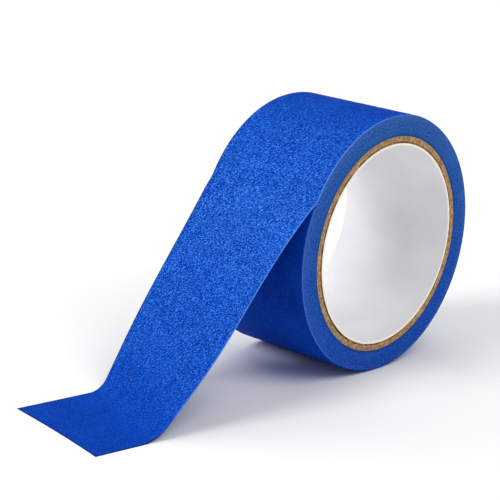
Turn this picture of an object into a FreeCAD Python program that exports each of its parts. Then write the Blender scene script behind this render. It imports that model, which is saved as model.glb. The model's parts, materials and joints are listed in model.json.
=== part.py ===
import FreeCAD, Part
import math
import os

# A roll of crepe masking tape that stands on its rim. The free end of the tape has been pulled off
# the roll: it leaves the roll near the top, slopes down to the table and lies along it.
#
# Frame, in millimetres: the origin is on the roll's axis, half way across the tape. +Y runs along
# the axis, +Z is up, and the free end runs towards -X. The table is the plane z = -ROLL_RADIUS.
#
# Two bodies hang on one another from the roll: the sloping strip turns about the roll's axis as
# tape comes off, and the tail that lies on the table folds up and down about the bend.

# The roll
TAPE_WIDTH = 50.8
BORE_RADIUS = 37.5
ROLL_RADIUS = 49.0

# The core: a smooth paper liner, then plies of board wound in a helix with butted edges
CORE_WALL = 3.5
LINER_THICKNESS = 0.8
BOARD_PLIES = 4
PLY_STRIP_WIDTH = 100.0
SEAM_GAP = 0.4
FIRST_SEAM_DEGREES = -54.0  # at the front face, from +X towards +Z, on the innermost ply
SEAM_STEP_DEGREES = 229.0   # from each ply's seam to the next ply's

# The tape: crepe paper with a layer of adhesive on its inner face
BACKING_THICKNESS = 0.10
ADHESIVE_THICKNESS = 0.06
TAPE_THICKNESS = BACKING_THICKNESS + ADHESIVE_THICKNESS

# The free end. It leaves the roll along a line across the tape, where the adhesive lets go. It
# twists a little on its way down, so that its back edge (+Y) is steeper, and bends more tightly at
# the table, than its front edge. slope: degrees below the horizontal. corner_y: where the slope
# would meet the table. tail: length on the table past that corner. bend: the radius at the table,
# measured to the adhesive face.
LEAVES_ROLL_DEGREES = 62.0  # past the top of the roll, towards -X
BACK_EDGE = {"roll_y": TAPE_WIDTH / 2, "slope": 51.8, "corner_y": 21.6, "tail": 35.1, "bend": 9.5}
FRONT_EDGE = {"roll_y": -TAPE_WIDTH / 2, "slope": 43.9, "corner_y": -25.9, "tail": 25.6, "bend": 20.0}
TAIL_HEADING = 7.5          # degrees that the tail turns from -X towards +Y
ROLL_GAP_LENGTH = 4.0       # the modelled strip starts this far past the line where it leaves the roll
FOLD_GAP = 0.5              # between the strip and the tail, which are two bodies at one fold

AXIS = FreeCAD.Vector(0, 1, 0)


def save(shape, node):
    """Writes one piece to its STEP file, after a test that it is one sound solid."""
    if not shape.isValid() or len(shape.Solids) != 1:
        raise RuntimeError(node + " is not one sound solid")
    shape.Solids[0].exportStep("parts/" + node + ".step")
    print(f"{node}: {shape.Volume:.1f} cubic mm")


def ring(inner_radius, outer_radius):
    """A ring about the roll's axis, as wide as the tape."""
    start = FreeCAD.Vector(0, -TAPE_WIDTH / 2, 0)
    outside = Part.makeCylinder(outer_radius, TAPE_WIDTH, start, AXIS)
    inside = Part.makeCylinder(inner_radius, TAPE_WIDTH, start, AXIS)
    return outside.cut(inside)


def seam_cutter(inner_radius, outer_radius, front_degrees):
    """A thin helical blade along the butted edges of one ply.

    It crosses the front face (-Y) at front_degrees, and stands a margin clear of the ply all round.
    """
    margin = 0.5
    radius = (inner_radius + outer_radius) / 2
    circumference = 2 * math.pi * radius
    lead_angle = math.asin(PLY_STRIP_WIDTH / circumference)
    lead = circumference * math.tan(lead_angle)
    half_depth = (outer_radius - inner_radius) / 2 + margin
    half_gap = SEAM_GAP / math.cos(lead_angle) / 2
    height = TAPE_WIDTH + 2 * margin
    start_degrees = -front_degrees - 360 * margin / lead
    helix = Part.makeHelix(lead, height, radius)
    low_corners = [(-half_depth, -half_gap), (half_depth, -half_gap)]
    high_corners = [(half_depth, half_gap), (-half_depth, half_gap)]
    corners = low_corners + high_corners
    outline = Part.makePolygon([FreeCAD.Vector(radius + x, 0, z) for x, z in corners + corners[:1]])
    blade = Part.Wire(helix.Edges).makePipeShell([outline], True, True)
    blade.translate(FreeCAD.Vector(0, 0, -height / 2))
    blade.rotate(FreeCAD.Vector(0, 0, 0), FreeCAD.Vector(0, 0, 1), start_degrees)
    blade.rotate(FreeCAD.Vector(0, 0, 0), FreeCAD.Vector(1, 0, 0), -90)
    return blade


def core():
    """The liner and the board plies, from the bore outwards. Each ply's seam starts further round."""
    inner = BORE_RADIUS + LINER_THICKNESS
    ply_thickness = (CORE_WALL - LINER_THICKNESS) / BOARD_PLIES
    save(ring(BORE_RADIUS, inner), "core_liner")
    for number in range(BOARD_PLIES):
        outer = inner + ply_thickness
        front_degrees = FIRST_SEAM_DEGREES + number * SEAM_STEP_DEGREES
        ply = ring(inner, outer).cut(seam_cutter(inner, outer, front_degrees))
        save(ply, f"core_board_ply_{number + 1}")
        inner = outer


def wound_tape():
    """All the turns of tape on the core. They are one length of tape, so they are one piece."""
    save(ring(BORE_RADIUS + CORE_WALL, ROLL_RADIUS), "wound_tape")


class StripEdge:
    """One edge of the free end: a straight slope from the roll, then a bend and the tail.

    Places on it are given by the height above the adhesive face, which lies on the table.
    """

    def __init__(self, roll_y, slope, corner_y, tail, bend):
        leaves_at = math.radians(LEAVES_ROLL_DEGREES)
        heading = math.radians(TAIL_HEADING)
        inside = ROLL_RADIUS - TAPE_THICKNESS
        leaves_roll = FreeCAD.Vector(-inside * math.sin(leaves_at), roll_y, inside * math.cos(leaves_at))
        run = (leaves_roll.z + ROLL_RADIUS) / math.tan(math.radians(slope))
        corner = FreeCAD.Vector(leaves_roll.x - run, corner_y, -ROLL_RADIUS)
        self.leaves_roll = leaves_roll
        self.down = (corner - leaves_roll).normalize()
        self.along = FreeCAD.Vector(-math.cos(heading), math.sin(heading), 0)
        self.turn = self.down.getAngle(self.along)
        self.normal = (self.along - self.down * self.down.dot(self.along)).normalize()
        self.tail_normal = (self.along * self.down.dot(self.along) - self.down).normalize()
        self.bend_radius = bend
        tangent_length = bend * math.tan(self.turn / 2)
        self.centre = corner - self.down * tangent_length + self.normal * bend
        self.tail_end = corner + self.along * tail

    def on_slope(self, distance, height):
        return self.leaves_roll + self.down * distance + self.normal * height

    def on_bend(self, angle, height):
        outwards = self.down * math.sin(angle) - self.normal * math.cos(angle)
        return self.centre + outwards * (self.bend_radius - height)

    def at_tail_end(self, height):
        return self.tail_end + self.tail_normal * height

    def bend_outline(self, far_low, far_high, near_angle, far_angle, low, high):
        """A closed outline: a straight stretch of tape and its share of the bend, between two heights."""
        middle_angle = (near_angle + far_angle) / 2
        low_arc = [self.on_bend(angle, low) for angle in (near_angle, middle_angle, far_angle)]
        high_arc = [self.on_bend(angle, high) for angle in (far_angle, middle_angle, near_angle)]
        edges = [
            Part.LineSegment(far_low, low_arc[0]).toShape(),
            Part.Arc(*low_arc).toShape(),
            Part.LineSegment(low_arc[-1], high_arc[0]).toShape(),
            Part.Arc(*high_arc).toShape(),
            Part.LineSegment(high_arc[-1], far_high).toShape(),
            Part.LineSegment(far_high, far_low).toShape(),
        ]
        return Part.Wire(edges)

    def slope_outline(self, low, high):
        last_angle = self.turn / 2 - FOLD_GAP / 2 / self.bend_radius
        start_low = self.on_slope(ROLL_GAP_LENGTH, low)
        start_high = self.on_slope(ROLL_GAP_LENGTH, high)
        return self.bend_outline(start_low, start_high, 0, last_angle, low, high)

    def tail_outline(self, low, high):
        first_angle = self.turn / 2 + FOLD_GAP / 2 / self.bend_radius
        return self.bend_outline(
            self.at_tail_end(low), self.at_tail_end(high), self.turn, first_angle, low, high
        )

    def fold_point(self):
        return self.on_bend(self.turn / 2, TAPE_THICKNESS / 2)


def free_end():
    """The sloping strip and the tail, each as crepe paper over a layer of adhesive."""
    back = StripEdge(**BACK_EDGE)
    front = StripEdge(**FRONT_EDGE)
    layers = {"adhesive": (0, ADHESIVE_THICKNESS), "backing": (ADHESIVE_THICKNESS, TAPE_THICKNESS)}
    for layer, (low, high) in layers.items():
        slope = Part.makeLoft([back.slope_outline(low, high), front.slope_outline(low, high)], True, True)
        tail = Part.makeLoft([back.tail_outline(low, high), front.tail_outline(low, high)], True, True)
        save(slope, "strip_" + layer)
        save(tail, "tail_" + layer)
    print("the fold runs from", back.fold_point(), "to", front.fold_point())


os.makedirs("parts", exist_ok=True)
core()
wound_tape()
free_end()
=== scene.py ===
import json
import math

import bpy
import numpy as np
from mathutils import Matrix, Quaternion, Vector


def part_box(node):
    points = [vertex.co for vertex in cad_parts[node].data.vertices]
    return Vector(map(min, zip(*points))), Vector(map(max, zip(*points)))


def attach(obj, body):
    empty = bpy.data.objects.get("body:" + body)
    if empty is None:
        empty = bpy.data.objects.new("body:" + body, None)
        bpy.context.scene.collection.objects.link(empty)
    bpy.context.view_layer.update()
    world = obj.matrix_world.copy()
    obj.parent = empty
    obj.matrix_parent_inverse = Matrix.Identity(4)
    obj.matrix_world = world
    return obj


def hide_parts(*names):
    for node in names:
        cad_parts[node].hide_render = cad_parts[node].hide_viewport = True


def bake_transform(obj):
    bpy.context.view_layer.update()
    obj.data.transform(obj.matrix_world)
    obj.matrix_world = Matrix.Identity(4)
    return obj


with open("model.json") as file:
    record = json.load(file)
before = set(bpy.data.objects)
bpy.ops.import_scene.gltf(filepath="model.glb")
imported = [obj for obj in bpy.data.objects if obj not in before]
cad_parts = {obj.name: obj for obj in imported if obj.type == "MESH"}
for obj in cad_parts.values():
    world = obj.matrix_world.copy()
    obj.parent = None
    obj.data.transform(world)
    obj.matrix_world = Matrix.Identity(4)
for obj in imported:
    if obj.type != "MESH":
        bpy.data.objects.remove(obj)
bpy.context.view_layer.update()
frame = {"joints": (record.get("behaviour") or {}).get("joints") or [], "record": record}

# The looks of a roll of crepe masking tape. Lengths are in metres unless a name says mm, in the
# frame of the CAD model: +Y along the roll's axis, +Z up, the free end towards -X.
#
# The outermost turn and the free end are one continuous tape, as on the real roll. It is made of
# two layers, crepe paper outside and adhesive inside, and it follows the strip and the tail. Under
# it lie the other turns, the four board plies of the core and the core's paper liner.

MM = 0.001

# What the CAD model says
TAPE_HALF_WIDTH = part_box("wound_tape")[1].y
ROLL_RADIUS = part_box("wound_tape")[1].z
CORE_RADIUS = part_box("core_board_ply_4")[1].z
LINER_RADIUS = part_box("core_liner")[1].z
BORE_RADIUS = frame["record"]["mounts"][0]["dims"]["r_mm"] * MM
FLOOR_Z = -ROLL_RADIUS
FOLD = next(joint for joint in frame["joints"] if joint["name"] == "tail_flex")

# The tape
BACKING_THICKNESS = 0.10 * MM
ADHESIVE_THICKNESS = 0.06 * MM
TAPE_THICKNESS = BACKING_THICKNESS + ADHESIVE_THICKNESS

# The free end's route is the CAD model's: it leaves the roll along one line, slopes down and bends
# onto the table. slope: degrees below the horizontal. corner_y: where the slope would meet the
# table. tail: length past that corner. bend: the radius at the table. bow and wave: how far the
# slope stands off a straight line, once outwards, and first outwards and then inwards.
LEAVES_ROLL = math.radians(62.0)
BACK_EDGE = {
    "slope": 51.8,
    "corner_y": 21.6 * MM,
    "tail": 35.1 * MM,
    "bend": 9.5 * MM,
    "bow": 0.9 * MM,
    "wave": -0.3 * MM,
}
FRONT_EDGE = {
    "slope": 43.9,
    "corner_y": -25.9 * MM,
    "tail": 25.6 * MM,
    "bend": 20.0 * MM,
    "bow": -0.3 * MM,
    "wave": 1.1 * MM,
}
TAIL_HEADING = math.radians(7.5)
PEEL_LENGTH = 4.0 * MM     # over which the tape straightens as it comes off the roll
TURN_START = 3.5 * MM      # the outermost turn starts this far past the leaving line, under the tape
SIDE_CURL = 0.30 * MM      # how far the outermost turn's sides curl in towards the core
CURL_WIDTH = 0.8 * MM      # and the width of the curl
CREPE_RELIEF = 0.07 * MM   # how far the crepe's ridges and hollows stand off its mean face
RELIEF_BORDER = 2 * MM     # the relief is lower this close to the tape's sides and ends
SIDE_LINE = 0.6 * MM       # the width of the line along the tape's side, painted as a highlight in some stretches and as shade in others

# The tape's points lie this far apart, and closer at its sides, where they are at SIDE_COLUMNS
STEP_ALONG = 0.55 * MM
STEP_ACROSS = 1.0 * MM
SIDE_COLUMNS = [0, 0.2 * MM, 0.45 * MM, 0.75 * MM]

# The creases of the crepe are pressed flat on the roll and on the table, 0, and stand up in the tape
# between, 1. The same numbers paint light and shade: the tape is painted darker where they are low,
# as painted shade on the roll, the lower strip and the tail, and lighter where they are high. Places
# along the tape are metres from where it leaves the roll, and from the bend.
LIFT_AND_LIGHT_PLACES = [-0.230, -0.190, -0.048, 0.012]
LIFT_AND_LIGHT = [0.24, 0.33, 0.33, 1.0]
SETTLE_AND_SHADE_PLACES = [-0.080, -0.012, 0.010]
SETTLE_AND_SHADE = [1.0, 0.52, 0.28]

# The tape's front side has a painted highlight in some stretches, 1, and painted shade in others, -1.
# Places are as above
SIDE_LIGHT_PLACES = [-0.240, -0.215, -0.115, -0.080, 0.090, 0.105]
SIDE_LIGHT_LEVELS = [0.8, -1, -1, 0.9, 0.9, -1]

# The core's plies are strips of board wound in a helix, as in the CAD model
PLY_STRIP_WIDTH = 100 * MM
SEAM_GAP = 0.4 * MM
FIRST_SEAM = math.radians(-54)
SEAM_STEP = math.radians(229)

# The camera
CAMERA_PLACE = Vector((-0.5139, -0.4065, 0.16905))
CAMERA_AZIMUTH = math.radians(-48.85)
CAMERA_ELEVATION = math.radians(15.32)
CAMERA_ROLL = math.radians(3.81)
CAMERA_LENS = 127.6


# ---------------------------------------------------------------- small tools

def smooth_noise(x, y, seed):
    """Smooth random values from -1 to 1 at the points (x, y), one hill or hollow per unit."""
    size = 256
    table = np.random.default_rng(seed).uniform(-1, 1, (size, size))
    x0 = np.floor(x).astype(int)
    y0 = np.floor(y).astype(int)
    fx = x - x0
    fy = y - y0
    fx = fx * fx * (3 - 2 * fx)
    fy = fy * fy * (3 - 2 * fy)

    def corner(dx, dy):
        return table[(x0 + dx) % size, (y0 + dy) % size]

    low = corner(0, 0) * (1 - fx) + corner(1, 0) * fx
    high = corner(0, 1) * (1 - fx) + corner(1, 1) * fx
    return low * (1 - fy) + high * fy


def smoothstep(value, low, high):
    share = np.clip((value - low) / (high - low), 0, 1)
    return share * share * (3 - 2 * share)


def new_piece(name, points, faces, material, smooth_angle=40):
    """A mesh object. Its faces are shaded smooth except at edges sharper than smooth_angle degrees."""
    mesh = bpy.data.meshes.new(name)
    mesh.from_pydata(np.asarray(points).tolist(), [], faces)
    mesh.shade_smooth()
    mesh.set_sharp_from_angle(angle=math.radians(smooth_angle))
    mesh.materials.append(material)
    piece = bpy.data.objects.new(name, mesh)
    bpy.context.scene.collection.objects.link(piece)
    return piece


def store(piece, name, values):
    """Keeps a number, or a vector, for each vertex, where a material can read it."""
    values = np.asarray(values, np.float32)
    kind, field = ("FLOAT_VECTOR", "vector") if values.ndim == 2 else ("FLOAT", "value")
    attribute = piece.data.attributes.new(name, kind, "POINT")
    attribute.data.foreach_set(field, values.ravel())


def grid_faces(rows, columns, first=0, flip=False):
    """The faces of a grid of rows x columns points."""
    faces = []
    for row in range(rows - 1):
        for column in range(columns - 1):
            a = first + row * columns + column
            face = (a, a + 1, a + columns + 1, a + columns)
            faces.append(face[::-1] if flip else face)
    return faces


def layer_faces(rows, columns):
    """The faces of a thin closed solid: a top grid, a bottom grid and a rim around them."""
    bottom = rows * columns
    faces = grid_faces(rows, columns) + grid_faces(rows, columns, bottom, flip=True)
    rim = list(range(columns))
    rim += [row * columns + columns - 1 for row in range(1, rows)]
    rim += [(rows - 1) * columns + column for column in range(columns - 2, -1, -1)]
    rim += [row * columns for row in range(rows - 2, 0, -1)]
    for here, there in zip(rim, rim[1:] + rim[:1]):
        faces.append((there, here, bottom + here, bottom + there))
    return faces


def tube_faces(rings, points, closed):
    """The faces of a closed outline of points, carried through a number of rings.

    Where closed is true, the last ring joins the first. Otherwise both ends are capped.
    """
    faces = []
    for ring in range(rings if closed else rings - 1):
        here = ring * points
        there = (ring + 1) % rings * points
        for point in range(points):
            onward = (point + 1) % points
            faces.append((here + point, here + onward, there + onward, there + point))
    if not closed:
        last = (rings - 1) * points
        faces.append(tuple(range(points))[::-1])
        faces.append(tuple(last + point for point in range(points)))
    return faces


# ---------------------------------------------------------------- materials

class Surface:
    """A material of nodes. Each method adds one node and returns what comes out of it."""

    def __init__(self, name, roughness, specular):
        self.material = bpy.data.materials.new(name)
        self.material.use_nodes = True
        self.tree = self.material.node_tree
        self.shader = self.tree.nodes["Principled BSDF"]
        self.shader.inputs["Roughness"].default_value = roughness
        self.shader.inputs["Specular IOR Level"].default_value = specular

    def node(self, kind, inputs, **settings):
        node = self.tree.nodes.new(kind)
        for name, value in settings.items():
            setattr(node, name, value)
        for name, value in inputs.items():
            if isinstance(value, bpy.types.NodeSocket):
                self.tree.links.new(value, node.inputs[name])
            else:
                node.inputs[name].default_value = value
        return node

    def attribute(self, name, output="Fac"):
        return self.node("ShaderNodeAttribute", {}, attribute_name=name).outputs[output]

    def position(self):
        return self.node("ShaderNodeTexCoord", {}).outputs["Object"]

    def stretched(self, vector, scale):
        return self.node("ShaderNodeMapping", {"Vector": vector, "Scale": scale}).outputs["Vector"]

    def noise(self, vector, scale, detail=2.0, roughness=0.5):
        inputs = {"Vector": vector, "Scale": scale, "Detail": detail, "Roughness": roughness}
        return self.node("ShaderNodeTexNoise", inputs).outputs["Fac"]

    def cells(self, vector, scale):
        inputs = {"Vector": vector, "Scale": scale}
        return self.node("ShaderNodeTexVoronoi", inputs, feature="F1").outputs["Distance"]

    def math(self, operation, first, second=0.0):
        return self.node("ShaderNodeMath", {0: first, 1: second}, operation=operation).outputs["Value"]

    def times(self, first, second):
        return self.math("MULTIPLY", first, second)

    def distance_from_axis(self, place):
        """The distance of a place from the roll's axis."""
        x, _, z = self.split(place)
        squares = self.math("ADD", self.times(x, x), self.times(z, z))
        return self.math("SQRT", squares)

    def between(self, value, low, high):
        """0 at low and beyond it, 1 at high and beyond it, and smooth between."""
        inputs = {"Value": value, "From Min": low, "From Max": high}
        node = self.node("ShaderNodeMapRange", inputs, interpolation_type="SMOOTHSTEP")
        return node.outputs["Result"]

    def spread(self, value, low, high):
        """Maps 0 to 1 onto low to high."""
        inputs = {"Value": value, "To Min": low, "To Max": high}
        return self.node("ShaderNodeMapRange", inputs).outputs["Result"]

    def mix(self, share, first, second):
        """The first colour where share is 0, the second where it is 1. Each is a colour or an output."""
        node = self.node("ShaderNodeMix", {}, data_type="RGBA")
        for socket, value in ((0, share), (6, first), (7, second)):
            if isinstance(value, bpy.types.NodeSocket):
                self.tree.links.new(value, node.inputs[socket])
            else:
                node.inputs[socket].default_value = value if socket == 0 else (*value, 1)
        return node.outputs[2]

    def tint(self, tone, where, strength, colour):
        """A tone with a colour laid over it, from none where "where" is 0 to strength where it is 1."""
        return self.mix(self.times(where, strength), tone, colour)

    def shift(self, vector, offset, amount):
        """A vector moved by offset times amount, the same in x and in y."""
        inputs = {0: offset, 1: (amount, amount, 0)}
        step = self.node("ShaderNodeVectorMath", inputs, operation="MULTIPLY").outputs["Vector"]
        inputs = {0: vector, 1: step}
        return self.node("ShaderNodeVectorMath", inputs, operation="ADD").outputs["Vector"]

    def combine(self, x, y, z):
        return self.node("ShaderNodeCombineXYZ", {"X": x, "Y": y, "Z": z}).outputs["Vector"]

    def split(self, vector):
        return self.node("ShaderNodeSeparateXYZ", {"Vector": vector}).outputs

    def colour(self, output):
        self.tree.links.new(output, self.shader.inputs["Base Color"])

    def roughness(self, output):
        self.tree.links.new(output, self.shader.inputs["Roughness"])

    def bump(self, height, depth):
        """Relief of that depth in metres, where height runs from 0 to 1."""
        node = self.node("ShaderNodeBump", {"Height": height, "Distance": depth, "Strength": 1.0})
        self.tree.links.new(node.outputs["Normal"], self.shader.inputs["Normal"])


def crepe_paper():
    """Blue crepe paper: short wiggly creases across the tape, with painted highlights on their crests
    and painted shade in their hollows.
    """
    surface = Surface("crepe_paper", roughness=0.6, specular=0.01)
    place = surface.attribute("tape_mm", "Vector")
    height = surface.attribute("crepe_height")
    crepe_lift_and_painted_light = surface.attribute("crepe_lift_and_painted_light")
    painted_side_light = surface.attribute("painted_side_light")
    deep_blue = (0.0004, 0.022, 0.27)

    # many short creases, and a few long thin ones
    wander = surface.noise(place, 0.35, detail=2)
    bent = surface.shift(place, wander, 2.5)
    crease = surface.noise(surface.stretched(bent, (2.1, 1.05, 1)), 1.0, detail=3, roughness=0.6)
    gate = surface.between(surface.noise(place, 0.22, detail=2), 0.30, 0.65)
    fold = surface.noise(surface.stretched(bent, (0.55, 0.13, 1)), 1.0, detail=3, roughness=0.55)
    off_fold = surface.math("ABSOLUTE", surface.math("SUBTRACT", fold, 0.5))
    on_fold = surface.between(off_fold, 0.020, 0.0)
    long_line = surface.times(on_fold, surface.between(crease, 0.36, 0.50))
    fibre = surface.noise(place, 4.0, detail=2)

    # the paper between the creases, with broad darker clouds, and painted darker where the creases lie
    # flat, as painted shade
    patch = surface.noise(place, 0.05, detail=2)
    cloud = surface.times(surface.between(patch, 0.35, 0.65), 0.4)
    pressed_and_shaded = surface.mix(cloud, (0.0008, 0.046, 0.40), deep_blue)
    loose_and_lit = surface.mix(cloud, (0.0010, 0.052, 0.44), deep_blue)
    body = surface.mix(crepe_lift_and_painted_light, pressed_and_shaded, loose_and_lit)

    # painted shade in the hollows and painted highlights on the crests, where the creases stand up
    highlight_blue = surface.mix(crepe_lift_and_painted_light, (0.002, 0.11, 0.62), (0.07, 0.32, 1.0))
    contrast = surface.between(crepe_lift_and_painted_light, 0.0, 0.65)
    hollow_shade = surface.times(surface.between(crease, 0.51, 0.39), contrast)
    tone = surface.tint(body, hollow_shade, 0.95, deep_blue)
    short_crest_highlight = surface.times(surface.between(crease, 0.50, 0.62), surface.spread(gate, 0.6, 1.0))
    crest_highlight = surface.math("MAXIMUM", short_crest_highlight, surface.times(long_line, 0.7))
    tone = surface.tint(tone, surface.times(crest_highlight, contrast), 0.9, highlight_blue)
    # a faint painted highlight on the ridges of the relief
    tone = surface.tint(tone, surface.between(height, 0.4, 1.0), 0.08, highlight_blue)

    # painted highlight and painted shade along the tape's sides
    side_highlight = surface.times(surface.between(painted_side_light, 0.0, 0.7), surface.spread(fibre, 0.25, 0.85))
    tone = surface.mix(side_highlight, tone, (0.14, 0.32, 0.92))
    tone = surface.mix(surface.between(painted_side_light, 0.0, -0.7), tone, (0.0004, 0.004, 0.11))

    surface.colour(tone)
    surface.roughness(surface.spread(crease, 0.75, 0.45))
    relief = surface.math("ADD", surface.times(crease, 0.85), surface.times(fibre, 0.15))
    surface.bump(surface.times(relief, surface.spread(crepe_lift_and_painted_light, 0.4, 1.0)), 0.35 * MM)
    return surface.material


def adhesive_layer():
    """The dull film of adhesive, which takes the print of the crepe."""
    surface = Surface("adhesive", roughness=0.45, specular=0.12)
    place = surface.attribute("tape_mm", "Vector")
    wander = surface.noise(place, 0.35, detail=2)
    bent = surface.shift(place, wander, 2.5)
    crease = surface.noise(surface.stretched(bent, (1.2, 0.5, 1)), 1.0, detail=3)
    haze = surface.noise(place, 0.12, detail=4)
    tone = surface.mix(surface.between(haze, 0.3, 0.7), (0.003, 0.032, 0.24), (0.006, 0.055, 0.36))
    surface.colour(surface.tint(tone, crease, 0.5, (0.012, 0.075, 0.42)))
    surface.roughness(surface.spread(haze, 0.3, 0.5))
    surface.bump(crease, 0.12 * MM)
    return surface.material


def tape_edges():
    """The edges of the wound turns: fine rings in greyish blue with a paper grain."""
    surface = Surface("tape_edges", roughness=0.8, specular=0.05)
    place = surface.position()
    radius_mm = surface.math("DIVIDE", surface.distance_from_axis(place), MM)
    drift = surface.times(surface.noise(place, 25.0, detail=2), 0.6)
    ring_place = surface.combine(surface.math("ADD", radius_mm, drift), 0.0, 0.0)
    rings = surface.noise(ring_place, 2.4, detail=5, roughness=0.7)
    grain = surface.noise(place, 1300.0, detail=3, roughness=0.7)
    blotch = surface.noise(place, 90.0, detail=3)

    # painted sheen: greyer towards the rim and the top of the roll
    outwards = surface.between(radius_mm, CORE_RADIUS / MM, ROLL_RADIUS / MM)
    sheen_upwards = surface.between(surface.split(place)["Z"], -0.8 * ROLL_RADIUS, 0.9 * ROLL_RADIUS)
    inner_tone = surface.mix(sheen_upwards, (0.006, 0.058, 0.46), (0.014, 0.095, 0.38))
    outer_tone = surface.mix(sheen_upwards, (0.010, 0.066, 0.47), (0.045, 0.120, 0.42))
    tone = surface.mix(outwards, inner_tone, outer_tone)

    tone = surface.tint(tone, surface.between(rings, 0.42, 0.62), 0.45, (0.028, 0.140, 0.47))
    tone = surface.tint(tone, surface.between(grain, 0.50, 0.36), 0.9, (0.004, 0.035, 0.22))
    tone = surface.tint(tone, surface.between(grain, 0.52, 0.68), 0.8, (0.035, 0.18, 0.58))
    tone = surface.tint(tone, surface.between(blotch, 0.5, 0.7), 0.2, (0.05, 0.15, 0.46))
    # painted shade in the gap between the winding and the core, as a dark band next to the core
    core_gap_shade = surface.between(radius_mm, CORE_RADIUS / MM + 1.1, CORE_RADIUS / MM + 0.2)
    tone = surface.tint(tone, core_gap_shade, 0.75, (0.025, 0.060, 0.17))
    surface.colour(tone)
    surface.roughness(surface.spread(grain, 0.7, 0.9))
    relief = surface.math("ADD", surface.times(rings, 0.5), surface.times(grain, 0.5))
    surface.bump(relief, 0.08 * MM)
    return surface.material


def kraft_board(name, light, dark):
    """Brown board: mottled fibres, some lighter and some dark."""
    surface = Surface(name, roughness=0.85, specular=0.15)
    place = surface.position()
    fibre = surface.noise(surface.stretched(place, (900, 500, 900)), 1.0, detail=4, roughness=0.65)
    blotch = surface.noise(place, 160.0, detail=3)
    specks = surface.cells(place, 1500.0)
    tone = surface.mix(surface.between(fibre, 0.38, 0.62), dark, light)
    tone = surface.tint(tone, surface.between(blotch, 0.45, 0.75), 0.5, dark)
    tone = surface.tint(tone, surface.between(specks, 0.25, 0.1), 0.35, (0.12, 0.07, 0.03))

    # painted shade: a dark line in the seam next to the liner, broken here and there, and fainter
    # towards +X
    radius = surface.distance_from_axis(place)
    liner_seam_shade = surface.between(radius, LINER_RADIUS + 0.8 * MM, LINER_RADIUS + 0.4 * MM)
    broken = surface.between(surface.noise(place, 300.0, detail=3), 0.40, 0.54)
    shaded_side = surface.between(surface.split(place)["X"], -0.1 * ROLL_RADIUS, -0.5 * ROLL_RADIUS)
    line = surface.times(broken, surface.spread(shaded_side, 0.45, 1.0))
    tone = surface.mix(surface.times(liner_seam_shade, line), tone, (0.020, 0.010, 0.004))

    surface.colour(tone)
    surface.roughness(surface.spread(fibre, 0.75, 0.95))
    surface.bump(fibre, 0.15 * MM)
    return surface.material


def liner_paper():
    """Smooth white paper with the faintest cloud and grain, and a painted highlight on its cut ends,
    which are painted brighter and creamier.
    """
    surface = Surface("liner_paper", roughness=0.5, specular=0.4)
    place = surface.position()
    cloud = surface.noise(place, 60.0, detail=3)
    grain = surface.noise(place, 1500.0, detail=3, roughness=0.6)
    tone = surface.mix(surface.between(cloud, 0.3, 0.7), (0.78, 0.775, 0.80), (0.84, 0.835, 0.855))
    tone = surface.tint(tone, grain, 0.12, (0.62, 0.62, 0.63))
    # the cut edge is painted brighter and creamier than the paper: a painted highlight
    across = surface.math("ABSOLUTE", surface.split(place)["Y"])
    cut_highlight = surface.between(across, TAPE_HALF_WIDTH - 0.3 * MM, TAPE_HALF_WIDTH - 0.1 * MM)
    surface.colour(surface.mix(cut_highlight, tone, (1.0, 0.92, 0.80)))
    surface.roughness(surface.spread(grain, 0.42, 0.58))
    surface.bump(grain, 0.02 * MM)
    return surface.material


# ---------------------------------------------------------------- the free end and the outermost turn

class TapeEdge:
    """The path of one line along the tape, at any height above the adhesive's sticky face.

    Distances along it count from the top of the roll: less than 0 backwards round the roll, more
    than 0 towards the tail.
    """

    def __init__(self, y, slope, corner_y, tail, bend, bow, wave):
        self.y = y
        self.inside = ROLL_RADIUS - TAPE_THICKNESS
        leaves_x = -self.inside * math.sin(LEAVES_ROLL)
        leaves_z = self.inside * math.cos(LEAVES_ROLL)
        self.leaves_roll = Vector((leaves_x, y, leaves_z))
        run = (self.leaves_roll.z - FLOOR_Z) / math.tan(math.radians(slope))
        corner = Vector((self.leaves_roll.x - run, corner_y, FLOOR_Z))
        self.down = (corner - self.leaves_roll).normalized()
        self.along = Vector((-math.cos(TAIL_HEADING), math.sin(TAIL_HEADING), 0))
        turn = self.down.angle(self.along)
        self.normal = (self.along - self.down * self.down.dot(self.along)).normalized()
        self.bend_radius = bend
        tangent_length = bend * math.tan(turn / 2)
        self.centre = corner - self.down * tangent_length + self.normal * bend
        self.tail_start = corner + self.along * tangent_length
        self.bow = bow
        self.wave = wave
        self.on_roll = self.inside * LEAVES_ROLL
        self.on_slope = (corner - self.leaves_roll).length - tangent_length
        self.on_bend = bend * turn
        self.length = self.on_roll + self.on_slope + self.on_bend + tail - tangent_length
        self.first = self.on_roll - self.inside * 2 * math.pi + TURN_START

    def place_on_roll(self, distance, height):
        angle = math.pi / 2 + distance / self.inside
        radius = self.inside + height
        return Vector((radius * math.cos(angle), self.y, radius * math.sin(angle)))

    def place_on_slope(self, distance, height):
        share = distance / self.on_slope
        lift = self.bow * math.sin(math.pi * share) + self.wave * math.sin(2 * math.pi * share)
        return self.leaves_roll + self.down * distance + self.normal * (lift + height)

    def place(self, distance, height):
        """The point at a distance along the tape and a height above its adhesive face."""
        if distance < self.on_roll:
            return self.place_on_roll(distance, height)
        past_roll = distance - self.on_roll
        if past_roll < self.on_slope:
            straight = self.place_on_slope(past_roll, height)
            share = float(smoothstep(past_roll, 0, PEEL_LENGTH))
            if share == 1:
                return straight
            return self.place_on_roll(distance, height).lerp(straight, share)
        past_slope = past_roll - self.on_slope
        if past_slope < self.on_bend:
            angle = past_slope / self.bend_radius
            outwards = self.down * math.sin(angle) - self.normal * math.cos(angle)
            return self.centre + outwards * (self.bend_radius - height)
        return self.tail_start + self.along * (past_slope - self.on_bend) + Vector((0, 0, height))


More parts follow.
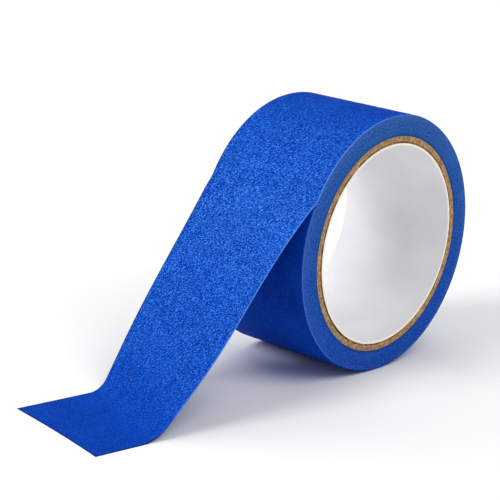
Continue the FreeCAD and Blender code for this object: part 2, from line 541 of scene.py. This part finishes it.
def crepe_height(along_mm, across_mm):
    """The relief of the crepe from about -1 to 1: ridges across the tape that wander and break off."""
    wander = 1.3 * smooth_noise(along_mm / 5.0, across_mm / 3.5, 11)
    ridges = 1 - 2 * np.abs(smooth_noise(along_mm / 2.2 + wander, across_mm / 3.4, 12))
    swells = smooth_noise(along_mm / 4.5 + wander, across_mm / 9.0, 13)
    return 0.6 * ridges + 0.4 * swells


def tape_lines():
    """One TapeEdge for each column of points, from the front side of the tape to the back side."""
    width = 2 * TAPE_HALF_WIDTH
    middle_columns = np.linspace(STEP_ACROSS, width - STEP_ACROSS, round(width / STEP_ACROSS) - 1)
    places = SIDE_COLUMNS + middle_columns.tolist() + [width - side for side in SIDE_COLUMNS[::-1]]
    lines = []
    for place in places:
        share = place / width
        values = {key: FRONT_EDGE[key] * (1 - share) + BACK_EDGE[key] * share for key in BACK_EDGE}
        lines.append(TapeEdge(TAPE_HALF_WIDTH * (2 * share - 1), **values))
    return lines


def free_end():
    """The outermost turn and the free end, as a layer of crepe paper over a layer of adhesive."""
    lines = tape_lines()
    columns = len(lines)
    rows = round((lines[0].length - lines[0].first) / STEP_ALONG) + 1
    distances = np.stack([np.linspace(line.first, line.length, rows) for line in lines], -1)
    across = np.tile([line.y for line in lines], (rows, 1))
    past_roll = distances - lines[0].on_roll
    past_bend = past_roll - np.array([line.on_slope for line in lines])
    side_margin = TAPE_HALF_WIDTH - np.abs(across)
    end_margin = np.minimum(distances - distances[0], distances[-1] - distances)
    margin = np.minimum(side_margin, end_margin)

    height = crepe_height(distances / MM, across / MM)
    lift = CREPE_RELIEF * height * (0.3 + 0.7 * smoothstep(margin, 0, RELIEF_BORDER))
    # how far the creases stand up, which also sets the painted light and shade along the tape
    crepe_lift_and_painted_light = np.interp(past_roll, LIFT_AND_LIGHT_PLACES, LIFT_AND_LIGHT) * np.interp(past_bend, SETTLE_AND_SHADE_PLACES, SETTLE_AND_SHADE)

    # the slitting knife drew the tape's sides down, most of all where the tape is on the roll
    on_roll = 1 - 0.8 * smoothstep(past_roll, -5 * MM, 10 * MM)
    curl = SIDE_CURL * on_roll * (1 - smoothstep(side_margin, 0, CURL_WIDTH))
    # painted light along the tape's front side: a highlight in some stretches, shade in others
    side_light_level = np.interp(past_roll, SIDE_LIGHT_PLACES, SIDE_LIGHT_LEVELS)
    # the back side is painted shade all along
    side_light_level[across > 0] = -1
    painted_side_light_share = side_light_level * (1 - smoothstep(margin, 0, SIDE_LINE))

    def layer(name, low, high, relief, material):
        top = np.empty((rows, columns, 3))
        bottom = np.empty((rows, columns, 3))
        for column, line in enumerate(lines):
            for row in range(rows):
                distance = distances[row, column]
                drop = curl[row, column]
                top[row, column] = line.place(distance, high + relief[row, column] - drop)
                bottom[row, column] = line.place(distance, low - drop)
        points = np.concatenate([top.reshape(-1, 3), bottom.reshape(-1, 3)])
        piece = new_piece(name, points, layer_faces(rows, columns), material)
        tape_mm = np.stack([distances / MM, across / MM, np.zeros_like(across)], -1).reshape(-1, 3)
        store(piece, "tape_mm", np.tile(tape_mm, (2, 1)))
        store(piece, "crepe_height", np.tile(height.ravel() * 0.5 + 0.5, 2))
        store(piece, "painted_side_light", np.tile(painted_side_light_share.ravel(), 2))
        store(piece, "crepe_lift_and_painted_light", np.tile(crepe_lift_and_painted_light.ravel(), 2))
        return piece

    smooth = np.zeros_like(lift)
    paper = crepe_paper()
    film = adhesive_layer()
    backing = layer("free_end_backing", ADHESIVE_THICKNESS, TAPE_THICKNESS, lift, paper)
    adhesive = layer("free_end_adhesive", 0.0, ADHESIVE_THICKNESS, smooth, film)
    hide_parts("strip_backing", "tail_backing")
    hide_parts("strip_adhesive", "tail_adhesive")

    # the fold axis and the direction towards the tail at the middle line are worked out but not used;
    # both pieces' transforms are then baked
    middle = lines[columns // 2]
    axis = Vector(FOLD["axis"])
    towards_tail = (middle.down + middle.along).normalized()
    towards_tail = (towards_tail - axis * towards_tail.dot(axis)).normalized()
    for piece in (backing, adhesive):
        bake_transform(piece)


# ---------------------------------------------------------------- the roll

def tape_winding():
    """The wound turns under the outermost one. Their edges stand a little in and out of line."""
    columns = 400

    # the rim and its corners, which follow the curl of the outermost turn, lie just clear of it
    gap = 0.01 * MM
    corner_gap = 0.02 * MM
    corner_inset = 0.03 * MM
    outer = ROLL_RADIUS - TAPE_THICKNESS - gap
    curled = outer - SIDE_CURL - corner_gap

    # bands of one to three turns, with a groove after each. offsets: how far each radius stands out
    most_turns = 3
    random = np.random.default_rng(3)
    radii = [CORE_RADIUS]
    offsets = [-0.10 * MM]
    while radii[-1] + most_turns * TAPE_THICKNESS < curled:
        width = random.integers(1, most_turns + 1) * TAPE_THICKNESS
        stand = random.uniform(-0.07, 0.03) * MM
        groove = min(stand, 0) - random.uniform(0.02, 0.06) * MM
        radii += [radii[-1] + 0.15 * width, radii[-1] + 0.85 * width, radii[-1] + width]
        offsets += [stand, stand, groove]

    # the section, carried round the roll. The edges sway a little on the way
    points = []
    for column in range(columns):
        angle = 2 * math.pi * column / columns
        front = []
        for radius, offset in zip(radii, offsets):
            sway = 1 + 0.3 * math.sin(angle * 2 + radius * 900)
            front.append((radius, -TAPE_HALF_WIDTH - offset * sway))
        front.append((curled, -TAPE_HALF_WIDTH + corner_inset))
        front.append((curled + SIDE_CURL / 2, -TAPE_HALF_WIDTH + CURL_WIDTH / 2))
        front.append((outer, -TAPE_HALF_WIDTH + CURL_WIDTH))
        outline = front + [(radius, -y) for radius, y in front[::-1]]
        points += [(radius * math.cos(angle), y, radius * math.sin(angle)) for radius, y in outline]
    faces = tube_faces(columns, len(outline), closed=True)
    winding = new_piece("tape_winding", points, faces, tape_edges(), smooth_angle=60)
    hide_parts("wound_tape")
    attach(winding, "roll")


def core_ply(number, inner, outer, material):
    """One board ply: a strip wound in a helix, with a slit where its edges butt, and rough cut ends."""
    columns = 480
    rows = 40
    end_points = 5
    rounding = 0.16 * MM
    roughness = 0.04 * MM

    # the section from the core's axis outwards: radius and y
    ends = []
    for step in range(end_points + 1):
        share = step / end_points
        drop = rounding * (2 * share - 1) ** 4
        ends.append((inner + (outer - inner) * share, TAPE_HALF_WIDTH - drop))
    sides = [TAPE_HALF_WIDTH * (1 - 2 * row / rows) for row in range(1, rows)]
    outline = [(radius, -y) for radius, y in ends] + [(outer, -y) for y in sides]
    outline += ends[::-1] + [(inner, y) for y in sides]
    section = np.array(outline)

    # the section goes once round from one side of the slit to the other
    middle = (inner + outer) / 2
    lead_angle = math.asin(PLY_STRIP_WIDTH / (2 * math.pi * middle))
    lead = 2 * math.pi * middle * math.tan(lead_angle)
    slit = SEAM_GAP / math.sin(lead_angle) / middle
    front_seam = FIRST_SEAM + (number - 1) * SEAM_STEP
    seam = front_seam - 2 * math.pi * (section[:, 1] + TAPE_HALF_WIDTH) / lead
    share = np.arange(columns)[:, None] / (columns - 1)
    angle = seam[None, :] + slit / 2 + (2 * math.pi - slit) * share
    radius = np.broadcast_to(section[:, 0], angle.shape)
    y = np.broadcast_to(section[:, 1], angle.shape).copy()

    # the ends are cut a little short and rough
    at_end = np.abs(np.abs(section[:, 1]) - TAPE_HALF_WIDTH) < 1.5 * rounding
    round_mm = angle * middle / (0.7 * MM)
    rough = smooth_noise(round_mm, radius / (0.3 * MM) + 40 * number, 20 + number)
    y -= np.sign(y) * at_end * (roughness + roughness * rough)

    points = np.stack([radius * np.cos(angle), y, radius * np.sin(angle)], -1).reshape(-1, 3)
    faces = tube_faces(columns, len(outline), closed=False)
    ply = new_piece(f"board_ply_{number}", points, faces, material, smooth_angle=50)
    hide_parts(f"core_board_ply_{number}")
    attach(ply, "roll")


def core_liner():
    """The white paper inside the core, with its cut edges a little rounded."""
    columns = 256
    steps = 3
    rounding = 0.12 * MM
    outline = []
    for corner in range(4):
        radius = BORE_RADIUS + rounding if corner in (1, 2) else LINER_RADIUS - rounding
        y = (TAPE_HALF_WIDTH - rounding) * (1 if corner < 2 else -1)
        for step in range(steps + 1):
            turn = math.pi / 2 * (corner + step / steps)
            outline.append((radius + rounding * math.cos(turn), y + rounding * math.sin(turn)))
    points = []
    for column in range(columns):
        angle = 2 * math.pi * column / columns
        points += [(radius * math.cos(angle), y, radius * math.sin(angle)) for radius, y in outline]
    faces = tube_faces(columns, len(outline), closed=True)
    liner = new_piece("paper_liner", points, faces, liner_paper(), smooth_angle=60)
    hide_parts("core_liner")
    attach(liner, "roll")


def roll():
    """The wound tape and the core: four plies of board, the outer two alike, and the liner."""
    tape_winding()
    inner_board = kraft_board("kraft_inner", (0.52, 0.305, 0.115), (0.20, 0.115, 0.038))
    middle_board = kraft_board("kraft_middle", (0.66, 0.390, 0.160), (0.32, 0.180, 0.065))
    outer_board = kraft_board("kraft_outer", (0.55, 0.360, 0.210), (0.28, 0.180, 0.100))
    inner = LINER_RADIUS
    for number, board in enumerate([inner_board, middle_board, outer_board, outer_board], 1):
        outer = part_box(f"core_board_ply_{number}")[1].z
        core_ply(number, inner, outer, board)
        inner = outer
    core_liner()


# ---------------------------------------------------------------- floor, light and camera

def floor():
    reach = 6.0
    sides = [(-1, -1), (1, -1), (1, 1), (-1, 1)]
    corners = [(x * reach, y * reach, FLOOR_Z) for x, y in sides]
    surface = Surface("floor", roughness=0.9, specular=0.1)
    cloud = surface.noise(surface.position(), 3.0, detail=2)
    surface.colour(surface.mix(cloud, (0.93, 0.93, 0.93), (0.95, 0.95, 0.95)))
    new_piece("floor", corners, [(0, 1, 2, 3)], surface.material)


def soft_sun(name, direction, strength, spread_degrees):
    """A far softbox: even light from one direction, that many degrees across."""
    lamp = bpy.data.lights.new(name, "SUN")
    lamp.angle = math.radians(spread_degrees)
    lamp.energy = strength
    light = bpy.data.objects.new(name, lamp)
    light.rotation_mode = "QUATERNION"
    light.rotation_quaternion = Vector(direction).to_track_quat("Z", "Y")
    bpy.context.scene.collection.objects.link(light)


def studio():
    """White surroundings and three soft lights: from the left, from behind and from the front."""
    world = bpy.data.worlds.new("studio")
    world.use_nodes = True
    world.node_tree.nodes["Background"].inputs["Color"].default_value = (1, 1, 1, 1)
    world.node_tree.nodes["Background"].inputs["Strength"].default_value = 0.44
    bpy.context.scene.world = world
    soft_sun("key", (-0.78, 0.22, 0.58), 1.5, 25)
    soft_sun("top", (0.10, 0.60, 0.75), 0.5, 40)
    soft_sun("front", (-0.05, -0.58, 0.81), 1.0, 40)
    bpy.context.scene.view_settings.view_transform = "Standard"


def camera():
    """The viewpoint: a level view's azimuth and elevation, then a roll about the line of sight."""
    lens = bpy.data.cameras.new("camera")
    lens.lens = CAMERA_LENS
    lens.clip_start = 0.01
    lens.clip_end = 100
    back = Vector((
        math.sin(CAMERA_AZIMUTH) * math.cos(CAMERA_ELEVATION),
        -math.cos(CAMERA_AZIMUTH) * math.cos(CAMERA_ELEVATION),
        math.sin(CAMERA_ELEVATION),
    ))
    view = bpy.data.objects.new("camera", lens)
    view.location = CAMERA_PLACE
    view.rotation_mode = "QUATERNION"
    view.rotation_quaternion = back.to_track_quat("Z", "Y") @ Quaternion((0, 0, 1), CAMERA_ROLL)
    bpy.context.scene.collection.objects.link(view)
    bpy.context.scene.camera = view


camera()
studio()
floor()
roll()
free_end()
